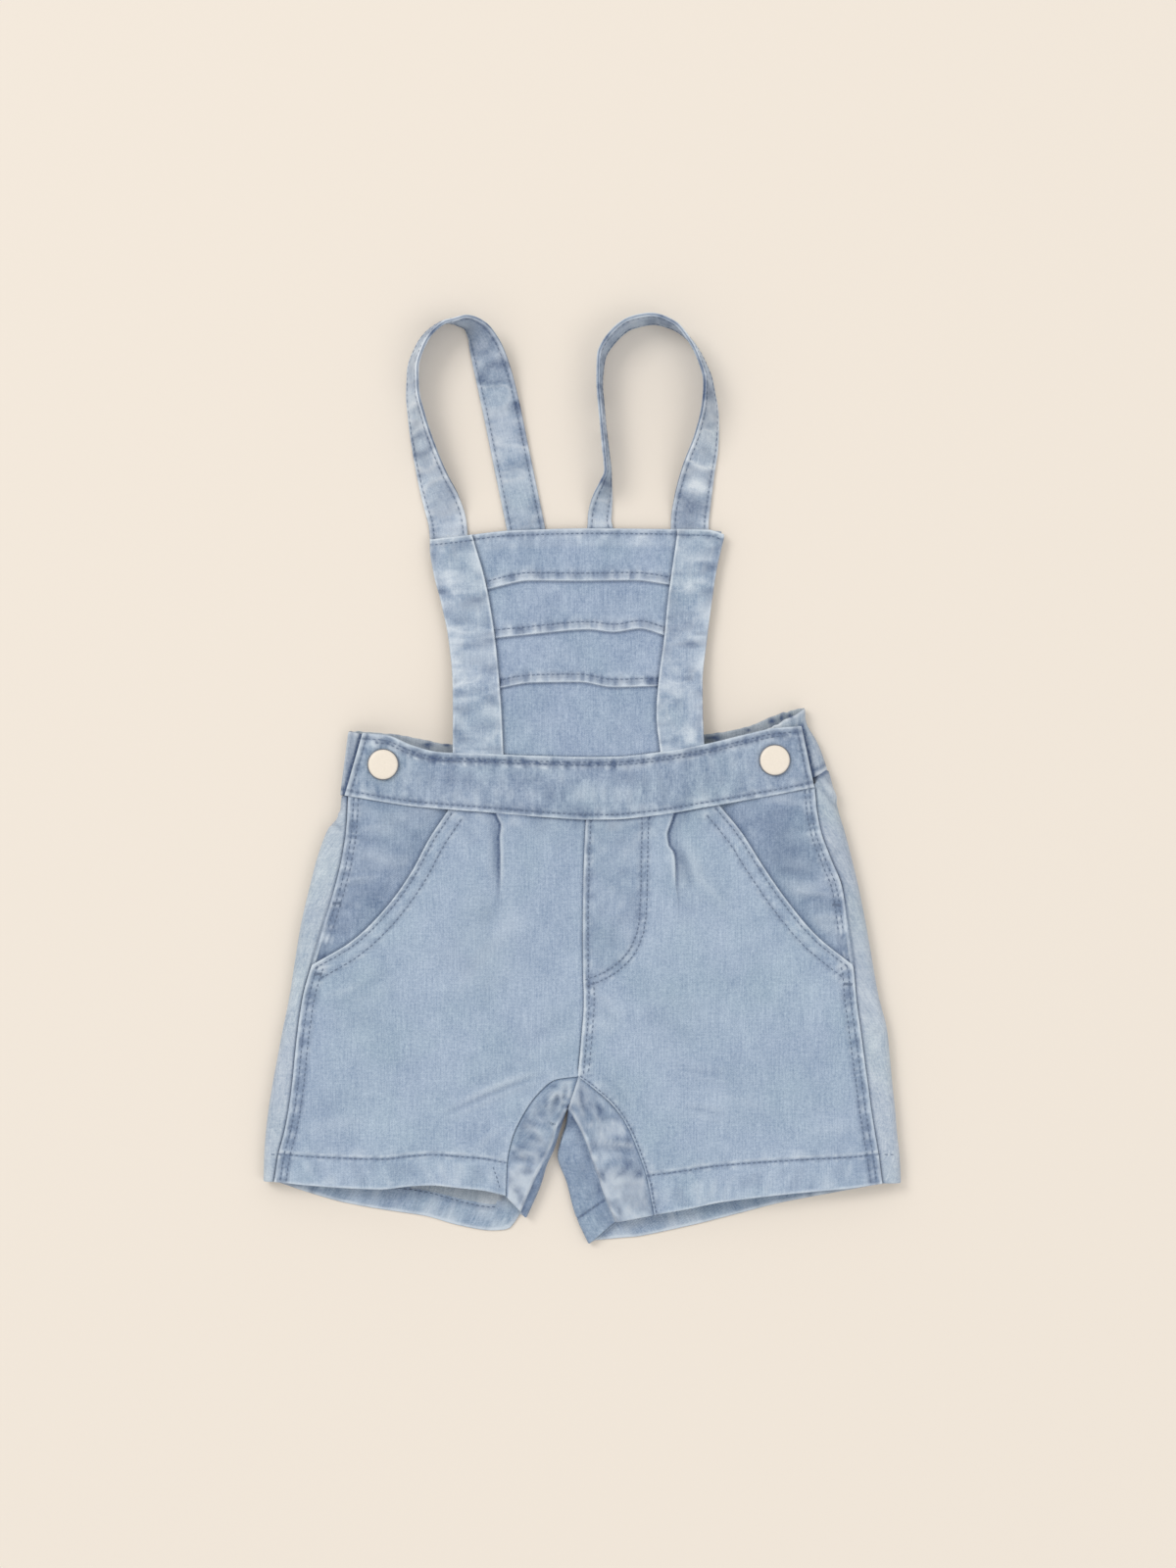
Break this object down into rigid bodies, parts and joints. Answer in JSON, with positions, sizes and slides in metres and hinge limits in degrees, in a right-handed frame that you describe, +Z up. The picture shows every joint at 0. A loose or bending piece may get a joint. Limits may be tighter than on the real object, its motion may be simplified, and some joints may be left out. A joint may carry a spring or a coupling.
{
  "type": "baby's short denim overalls",
  "caption": "Light washed denim shortalls laid flat, with a tucked bib, looped shoulder straps, slanted pockets and a button at each side.",
  "frame": {"origin": "on the surface that the garment lies on, at the middle of its outline", "axes": "+Z up from the surface, out of the garment's front; +Y from the hems towards the straps; +X to the right as seen from the front, which is the wearer's left"},
  "size_m": [0.3245, 0.4722, 0.0195],
  "materials": {
    "denim": "light stonewashed blue denim with pale worn ridges on its seams and folds",
    "pale_denim": "the same denim, seen on its rolled edges and straps, a little paler",
    "button": "cream enamel cap with a satin rim"
  },
  "bodies": {
    "root": {"back_left": "pale_denim", "back_right": "pale_denim", "front_left": "denim", "front_right": "denim", "pocket_facing_left": "denim", "pocket_facing_right": "denim", "waistband_front": "denim", "waistband_back": "pale_denim", "bib": "denim", "bib_band_left": "pale_denim", "bib_band_right": "pale_denim", "strap_left": "pale_denim", "strap_right": "pale_denim", "button_left": "button", "button_right": "button"}
  },
  "joints": []
}
